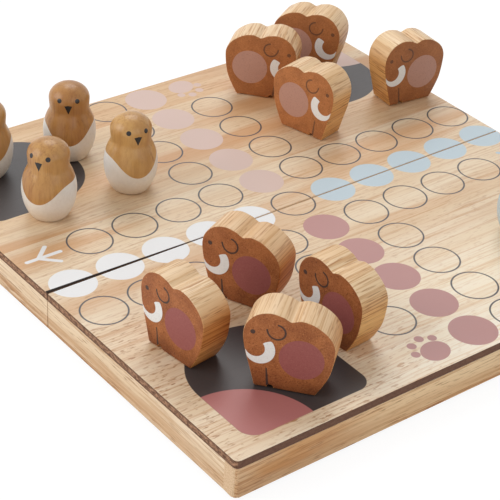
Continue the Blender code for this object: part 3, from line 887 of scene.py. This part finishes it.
def model_mammoth():
    """A slice with the mammoth's outline, its arrises eased, and a half-round notch between its feet."""
    corners = [(x * MAMMOTH_LENGTH, z * MAMMOTH_HEIGHT) for x, z in MAMMOTH_OUTLINE]
    outline = smooth_curve(corners, OUTLINE_STEPS)
    for i in range(NOTCH_STEPS + 1):
        angle = math.pi * i / NOTCH_STEPS
        outline.append((NOTCH_RADIUS * math.cos(angle) - NOTCH_FROM_MIDDLE, NOTCH_RADIUS * math.sin(angle)))
    half = MAMMOTH_THICKNESS / 2
    piece = start_piece(
        bpy.ops.mesh.primitive_circle_add, vertices=len(outline), radius=half, fill_type="NGON"
    )
    shape = bmesh.from_edit_mesh(piece.data)
    for vert, (x, z) in zip(shape.verts, outline):
        vert.co = (x, half, z)
    bmesh.update_edit_mesh(piece.data)
    bpy.ops.mesh.select_all(action="SELECT")
    bpy.ops.mesh.extrude_region_move(TRANSFORM_OT_translate={"value": (0, -MAMMOTH_THICKNESS, 0)})
    select_edges(piece, lambda a, b: abs(a.y - b.y) < half)
    bpy.ops.mesh.bevel(offset=MAMMOTH_ARRIS, segments=ARRIS_STEPS, profile=0.5, clamp_overlap=False)
    return end_piece(piece, sharp_from=40)


def chick_radius(level):
    """How wide the turned chick is between its belly and the widest part of its head."""
    if level < CHICK_NECK_LEVEL:
        share = (level - CHICK_BODY_LEVEL) / (CHICK_NECK_LEVEL - CHICK_BODY_LEVEL)
        return CHICK_BODY_RADIUS - (CHICK_BODY_RADIUS - CHICK_NECK_RADIUS) * share**2
    share = min((level - CHICK_NECK_LEVEL) / (CHICK_HEAD_LEVEL - CHICK_NECK_LEVEL), 1)
    return CHICK_NECK_RADIUS + (CHICK_HEAD_RADIUS - CHICK_NECK_RADIUS) * (3 * share**2 - 2 * share**3)


def chick_rings():
    """Radius and level of each ring of the turned chick, from its foot to its crown, with its neck eased."""
    swell = CHICK_BODY_LEVEL / math.sqrt(1 - (CHICK_BASE_RADIUS / CHICK_BODY_RADIUS) ** 2)
    shares = [i / CHICK_RINGS for i in range(CHICK_RINGS)]
    for share in shares:
        drop = CHICK_BODY_LEVEL * (1 - share)
        yield CHICK_BODY_RADIUS * math.sqrt(1 - (drop / swell) ** 2), CHICK_BODY_LEVEL - drop
    reach = range(-CHICK_NECK_STEPS, CHICK_NECK_STEPS + 1)
    shifts = [CHICK_NECK_ROUND * j / CHICK_NECK_STEPS for j in reach]
    steps = 3 * CHICK_RINGS
    for i in range(steps):
        level = CHICK_BODY_LEVEL + (CHICK_HEAD_LEVEL - CHICK_BODY_LEVEL) * i / steps
        yield sum(chick_radius(level + shift) for shift in shifts) / len(shifts), level
    for share in shares:
        angle = math.pi / 2 * share
        rise = (CHICK_HEIGHT - CHICK_HEAD_LEVEL) * math.sin(angle)
        yield CHICK_HEAD_RADIUS * math.cos(angle), CHICK_HEAD_LEVEL + rise


def draw_up(rings, sides):
    """Draws a round piece up from its foot, ring by ring of radius and level, and stays in edit mode."""
    radius, level = rings[0]
    piece = start_piece(bpy.ops.mesh.primitive_circle_add, vertices=sides, radius=radius, fill_type="NGON")
    for wider, higher in rings[1:]:
        bpy.ops.mesh.extrude_region_move(TRANSFORM_OT_translate={"value": (0, 0, higher - level)})
        bpy.ops.transform.resize(value=(wider / radius, wider / radius, 1))
        radius, level = wider, higher
    return piece


def model_chick():
    """A turned chick whose last ring closes at its crown."""
    rings = list(chick_rings())
    piece = draw_up(rings, CHICK_SIDES)
    crown = CHICK_HEIGHT - rings[-1][1]
    bpy.ops.mesh.extrude_region_move(TRANSFORM_OT_translate={"value": (0, 0, crown)})
    bpy.ops.mesh.merge(type="CENTER")
    select_edges(piece, lambda a, b: max(a.z, b.z) < CHICK_FOOT_ROUND)
    bpy.ops.mesh.bevel(offset=CHICK_FOOT_ROUND, segments=CHICK_FOOT_STEPS, profile=0.5)
    return end_piece(piece, sharp_from=50)


def model_pad(node):
    """A felt pad that bulges a little between the rail and the table."""
    low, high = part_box(node)
    radius, height = (high.x - low.x) / 2, high.z - low.z
    rings = []
    for i in range(PAD_RINGS + 1):
        share = i / PAD_RINGS
        pinch = 1 - math.sqrt(1 - (2 * share - 1) ** 2)
        rings.append((radius - PAD_PINCH * pinch, height * share))
    return end_piece(draw_up(rings, PAD_SIDES), sharp_from=50)


def pip_places():
    """Where the die's pips lie and which way they face, with seven on each two opposite sides."""
    half = DIE_SIDE / 2
    near = ((-1, -1), (1, 1))
    rows = {1: ((0, 0),), 2: near, 3: ((0, 0), *near), 4: (*near, (-1, 1), (1, -1))}
    rows[5] = ((0, 0), *rows[4])
    rows[6] = (*rows[4], (-1, 0), (1, 0))
    normals = {1: (0, 0, 1), 6: (0, 0, -1), 2: (0, -1, 0), 5: (0, 1, 0), 3: (1, 0, 0), 4: (-1, 0, 0)}
    for count, normal in normals.items():
        normal = Vector(normal)
        across = Vector((normal.y, normal.z, normal.x))
        along = normal.cross(across)
        for i, j in rows[count]:
            yield normal * half + (across * i + along * j) * PIP_SPREAD + Vector((0, 0, half)), normal


def model_die(pip_paint):
    """A cube with its edges rolled over and a shallow dish cut for each pip."""
    bpy.ops.object.select_all(action="DESELECT")
    reach = (PIP_RADIUS**2 + PIP_DEPTH**2) / (2 * PIP_DEPTH)
    cutters = []
    for point, normal in pip_places():
        bpy.ops.mesh.primitive_uv_sphere_add(
            segments=PIP_SEGMENTS,
            ring_count=PIP_RINGS,
            radius=reach,
            location=point + normal * (reach - PIP_DEPTH),
        )
        cutters.append(bpy.context.object)
    for cutter in cutters:
        cutter.select_set(True)
    bpy.ops.object.join()
    cutter = bpy.context.object
    cutter.data.materials.append(pip_paint)

    piece = start_piece(bpy.ops.mesh.primitive_cube_add, size=DIE_SIDE, location=(0, 0, DIE_SIDE / 2))
    bpy.ops.mesh.select_all(action="SELECT")
    bpy.ops.mesh.bevel(offset=DIE_ROUND, segments=DIE_ROUND_STEPS, profile=0.5)
    bpy.ops.object.mode_set(mode="OBJECT")
    bpy.ops.object.transform_apply(location=True, rotation=True, scale=True)
    piece.data.materials.append(die_finish())
    cut = piece.modifiers.new("pips", "BOOLEAN")
    cut.operation = "DIFFERENCE"
    cut.solver = "EXACT"
    cut.material_mode = "TRANSFER"
    cut.object = cutter
    bpy.ops.object.modifier_apply(modifier="pips")
    bpy.data.objects.remove(cutter)
    bpy.ops.object.mode_set(mode="EDIT")
    return end_piece(piece, sharp_from=30)


def seat(piece, node, turn):
    """Turns a piece as its solid is turned and moves it to where the solid stands, in its mesh."""
    piece.data.transform(Matrix.Rotation(math.radians(turn), 4, "Z"))
    low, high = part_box(node)
    own_low = Vector([min(v.co[k] for v in piece.data.vertices) for k in range(3)])
    own_high = Vector([max(v.co[k] for v in piece.data.vertices) for k in range(3)])
    shift = (low + high - own_low - own_high) / 2
    shift.z = low.z - own_low.z
    piece.data.transform(Matrix.Translation(shift))


def stand_for(piece, node, body):
    """Shows a piece in place of a solid and moves it with a body."""
    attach(piece, body)
    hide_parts(node)


def carry(piece, name, amount):
    """Gives all of a piece's points the same value of an attribute."""
    attribute = piece.data.attributes.new(name, "FLOAT", "POINT")
    for value in attribute.data:
        value.value = amount


def copy_team(model, team, finish):
    """Sets out a team's four pieces, each with its own mesh and its own run of the grain."""
    for number, turn in enumerate(TURNS[team], 1):
        node = f"{team}_{number}"
        piece = bpy.data.objects.new(f"{node}_carved", model.data.copy())
        bpy.context.scene.collection.objects.link(piece)
        piece.data.materials.append(finish)
        carry(piece, "seed", SEEDS[team] + number * SEED_STEP)
        carry(piece, "tone", TONES[team][number - 1])
        if team in SIDE_DARKENING:
            carry(piece, "side_darkening", SIDE_DARKENING[team][number - 1])
        seat(piece, node, turn)
        stand_for(piece, node, node)


def set_out_mammoths():
    """Both teams of mammoths, from one model."""
    model = model_mammoth()
    rose = mammoth_finish("rose_mammoth", shade(150, 84, 79), stroke=0.88, bleach=0.0, foot_shade=0.9)
    copy_team(model, "rose_mammoth", rose)
    pink = mammoth_finish("pink_mammoth", shade(182, 138, 121), stroke=0.62, bleach=0.2, foot_shade=0.2)
    copy_team(model, "pink_mammoth", pink)
    bpy.data.objects.remove(model)


def set_out_chicks():
    """Both teams of chicks, from one model."""
    model = model_chick()
    copy_team(model, "white_egg_chick", chick_finish("white_egg_chick", shade(238, 235, 230)))
    copy_team(model, "blue_egg_chick", chick_finish("blue_egg_chick", shade(184, 204, 214)))
    bpy.data.objects.remove(model)


def set_out_pads():
    """The felt pads, each moving with its half of the board."""
    felt = felt_finish()
    for node in [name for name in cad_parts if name.endswith("_pad")]:
        half = node.split("_")[0]
        pad = model_pad(node)
        pad.name = f"{node}_felt"
        pad.data.materials.append(felt)
        seat(pad, node, 0)
        stand_for(pad, node, f"{half}_half")


def set_out_die():
    """The die with its pips."""
    die = model_die(pip_finish())
    die.name = "die_carved"
    seat(die, "die", DIE_TURN)
    stand_for(die, "die", "die")


def dress_board():
    """Puts the finishes on the solids that show as they are."""
    along_x = rail_wood(
        "rail_wood_along_x",
        "X",
        left_tones=PLAIN_RAIL_TONES,
        right_tones=PAINTED_LIGHT_RAIL_TONES,
        tint=shade(234, 200, 162),
        heart=0.30,
    )
    along_y = rail_wood(
        "rail_wood_along_y",
        "Y",
        left_tones=BLEACHED_RAIL_TONES,
        right_tones=BLEACHED_RAIL_TONES,
        tint=shade(250, 249, 250),
        heart=0.60,
    )
    panel = printed_panel()
    brass = metal_finish("hinge_brass", (214, 178, 112), (168, 130, 72), (60, 2200, 2200), 0.24)
    steel = metal_finish("steel", (196, 196, 196), (140, 140, 142), (80, 2500, 2500), 0.26)
    nickel = metal_finish("magnet_nickel", (206, 202, 194), (160, 156, 150), (900, 900, 900), 0.2)
    finishes = {
        "playing_panel": panel,
        "outer_rail": along_x,
        "fold_rail": along_x,
        "left_rail": along_y,
        "right_rail": along_y,
        "leaf": brass,
        "pin": steel,
        "screw": steel,
        "magnet": nickel,
    }
    for name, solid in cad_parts.items():
        # A screw has its number at the end of its name
        for part, finish in finishes.items():
            if name.rstrip("_12").endswith(part):
                for slot in solid.material_slots:
                    slot.material = finish


def add_softbox(name, azimuth, elevation, distance, size, power):
    """A rectangular light that faces the board."""
    heading = math.radians(azimuth) - math.radians(VIEW_AZIMUTH)
    tilt = math.radians(elevation)
    aim = Vector((-math.sin(heading) * math.cos(tilt), math.cos(heading) * math.cos(tilt), math.sin(tilt)))
    light = bpy.data.lights.new(name, "AREA")
    light.shape = "RECTANGLE"
    light.size, light.size_y = size
    light.energy = power
    lamp = bpy.data.objects.new(name, light)
    bpy.context.scene.collection.objects.link(lamp)
    lamp.location = aim * distance
    lamp.rotation_euler = aim.to_track_quat("Z", "Y").to_euler()


def seen_rays(start):
    """1 for the rays that see the background: the camera's own, reflected and refracted ones."""
    camera = start.node("ShaderNodeLightPath", output="Is Camera Ray")
    glossy = start.node("ShaderNodeLightPath", output="Is Glossy Ray")
    through = start.node("ShaderNodeLightPath", output="Is Transmission Ray")
    return (camera + glossy + through).least(1.0)


def build_studio():
    """White surroundings, a pale floor that keeps the shadow, and the soft lights."""
    world = bpy.data.worlds.new("studio")
    bpy.context.scene.world = world
    world.use_nodes = True
    seen = seen_rays(Wire(world.node_tree))
    background = world.node_tree.nodes["Background"]
    background.inputs["Color"].default_value = grey(1.0)
    strength = seen * (1 - FILL_STRENGTH) + FILL_STRENGTH
    world.node_tree.links.new(strength.socket, background.inputs["Strength"])

    bpy.ops.object.select_all(action="DESELECT")
    bpy.ops.mesh.primitive_plane_add(size=FLOOR_SIDE)
    floor = bpy.context.object
    floor.name = "floor"
    material, place = new_finish("floor")
    seen = seen_rays(place)
    varying = {
        "Base Color": seen.mix(grey(FLOOR_LIT), grey(FLOOR_SEEN)),
        "Emission Color": seen.mix(grey(0.0), grey(1.0)),
    }
    dress(material, varying, {"Emission Strength": FLOOR_GLOW, "Roughness": 0.9})
    floor.data.materials.append(material)

    for name, facts in SOFTBOXES.items():
        add_softbox(name, **facts)


def set_camera():
    """The photograph's view, from a camera fitted to the board's print."""
    lens = bpy.data.cameras.new("camera")
    lens.sensor_width = SENSOR_WIDTH
    lens.lens = SENSOR_WIDTH * FOCAL_PIXELS / IMAGE_SIDE
    camera = bpy.data.objects.new("camera", lens)
    bpy.context.scene.collection.objects.link(camera)
    camera.location = CAMERA_PLACE
    camera.rotation_euler = Euler([math.radians(angle) for angle in CAMERA_TURN])
    bpy.context.scene.camera = camera
    bpy.context.scene.view_settings.view_transform = "Standard"


set_camera()
build_studio()
dress_board()
set_out_mammoths()
set_out_chicks()
set_out_pads()
set_out_die()
